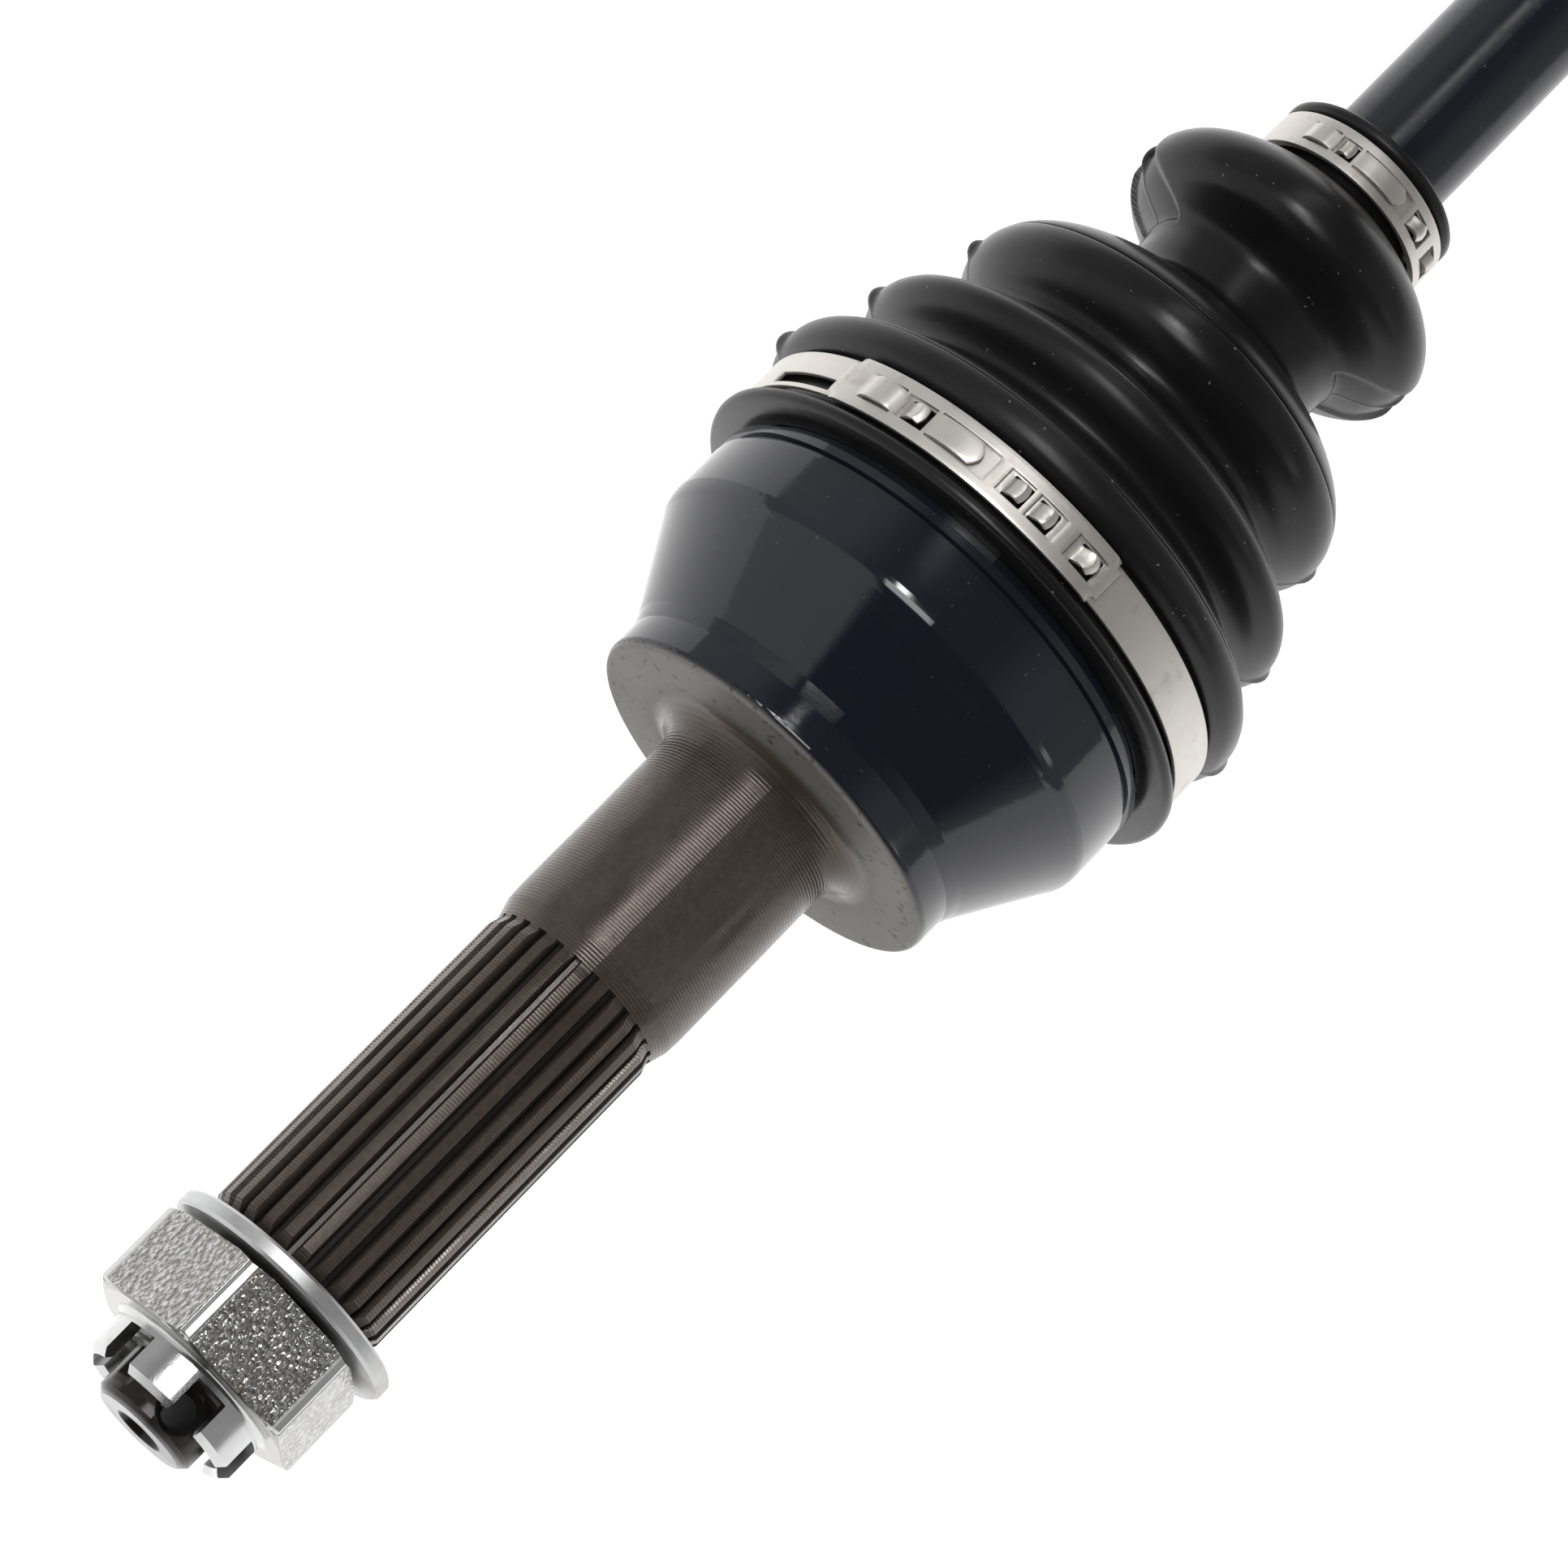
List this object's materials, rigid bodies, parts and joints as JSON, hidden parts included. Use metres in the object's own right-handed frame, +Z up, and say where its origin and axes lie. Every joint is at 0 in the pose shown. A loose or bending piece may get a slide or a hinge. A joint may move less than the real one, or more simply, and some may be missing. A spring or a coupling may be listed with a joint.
{
  "type": "cv axle",
  "caption": "Drive axle with a ball joint in a rubber boot at each end, a splined wheel stub with castle nut and washer, and a splined gearbox stub.",
  "frame": {"origin": "on the axle's axis, half way between the wheel stub's tip and the gearbox stub's end", "axes": "+X along the axle from the wheel end to the gearbox end, +Z up with the axle lying flat"},
  "size_m": [0.6, 0.0802, 0.0802],
  "materials": {
    "painted_bar": "gloss blue-black paint on a steel bar",
    "forged_cup": "gloss blue-black paint on the cup, oiled dark phosphate on the machined stub",
    "painted_housing": "gloss blue-black paint, dark machined stub",
    "zinc_nut": "zinc-plated forging, grainy flats",
    "zinc_washer": "zinc-plated, brushed",
    "boot_rubber": "satin black moulded rubber",
    "clamp_steel": "satin stainless strip",
    "ball_steel": "polished",
    "hardened_steel": "ground and greased",
    "spring_steel": "blued spring steel"
  },
  "bodies": {
    "shaft": {"axle_bar": "painted_bar", "outboard_inner_race": "hardened_steel", "outboard_race_snap_ring": "spring_steel", "outboard_boot_small_clamp": "clamp_steel", "inboard_inner_race": "hardened_steel", "inboard_race_snap_ring": "spring_steel", "inboard_boot_small_clamp": "clamp_steel"},
    "outboard_cup": {"outboard_cup_and_stub": "forged_cup", "outboard_boot": "boot_rubber", "outboard_boot_big_clamp": "clamp_steel"},
    "outboard_cage": {"outboard_cage": "hardened_steel", "outboard_ball_1": "ball_steel", "outboard_ball_2": "ball_steel", "outboard_ball_3": "ball_steel", "outboard_ball_4": "ball_steel", "outboard_ball_5": "ball_steel", "outboard_ball_6": "ball_steel"},
    "washer": {"hub_washer": "zinc_washer"},
    "nut": {"castle_nut": "zinc_nut"},
    "inboard_cage": {"inboard_cage": "hardened_steel", "inboard_ball_1": "ball_steel", "inboard_ball_2": "ball_steel", "inboard_ball_3": "ball_steel", "inboard_ball_4": "ball_steel", "inboard_ball_5": "ball_steel", "inboard_ball_6": "ball_steel"},
    "inboard_housing": {"inboard_housing": "painted_housing", "inboard_wire_ring": "spring_steel", "stub_circlip": "spring_steel", "inboard_boot": "boot_rubber", "inboard_boot_big_clamp": "clamp_steel"}
  },
  "joints": [
    {"name": "outboard_bend", "type": "hinge", "parent": "shaft", "child": "outboard_cup", "pos_m": [-0.161, 0, 0], "axis": [0, 1, 0], "range_deg": [-38, 38], "deforming": ["outboard_boot"]},
    {"name": "outboard_cage_bend", "type": "hinge", "parent": "shaft", "child": "outboard_cage", "pos_m": [-0.161, 0, 0], "axis": [0, 1, 0], "range_deg": [-19, 19]},
    {"name": "nut_advance", "type": "slide", "parent": "outboard_cup", "child": "washer", "axis": [-1, 0, 0], "range_m": [0, 0.0135]},
    {"name": "nut_spin", "type": "hinge", "parent": "washer", "child": "nut", "pos_m": [-0.284, 0, 0], "axis": [-1, 0, 0], "range_deg": [0, 3241]},
    {"name": "inboard_bend", "type": "hinge", "parent": "shaft", "child": "inboard_cage", "pos_m": [0.2, 0, 0], "axis": [0, 1, 0], "range_deg": [-18, 18]},
    {"name": "inboard_plunge", "type": "slide", "parent": "inboard_cage", "child": "inboard_housing", "axis": [1, 0, 0], "range_m": [-0.015, 0.015], "deforming": ["inboard_boot"]}
  ],
  "couplings": [
    {"joint": "outboard_cage_bend", "follows": "outboard_bend", "ratio": 0.5},
    {"joint": "nut_spin", "follows": "nut_advance", "rad_per_m": 4188.8}
  ]
}
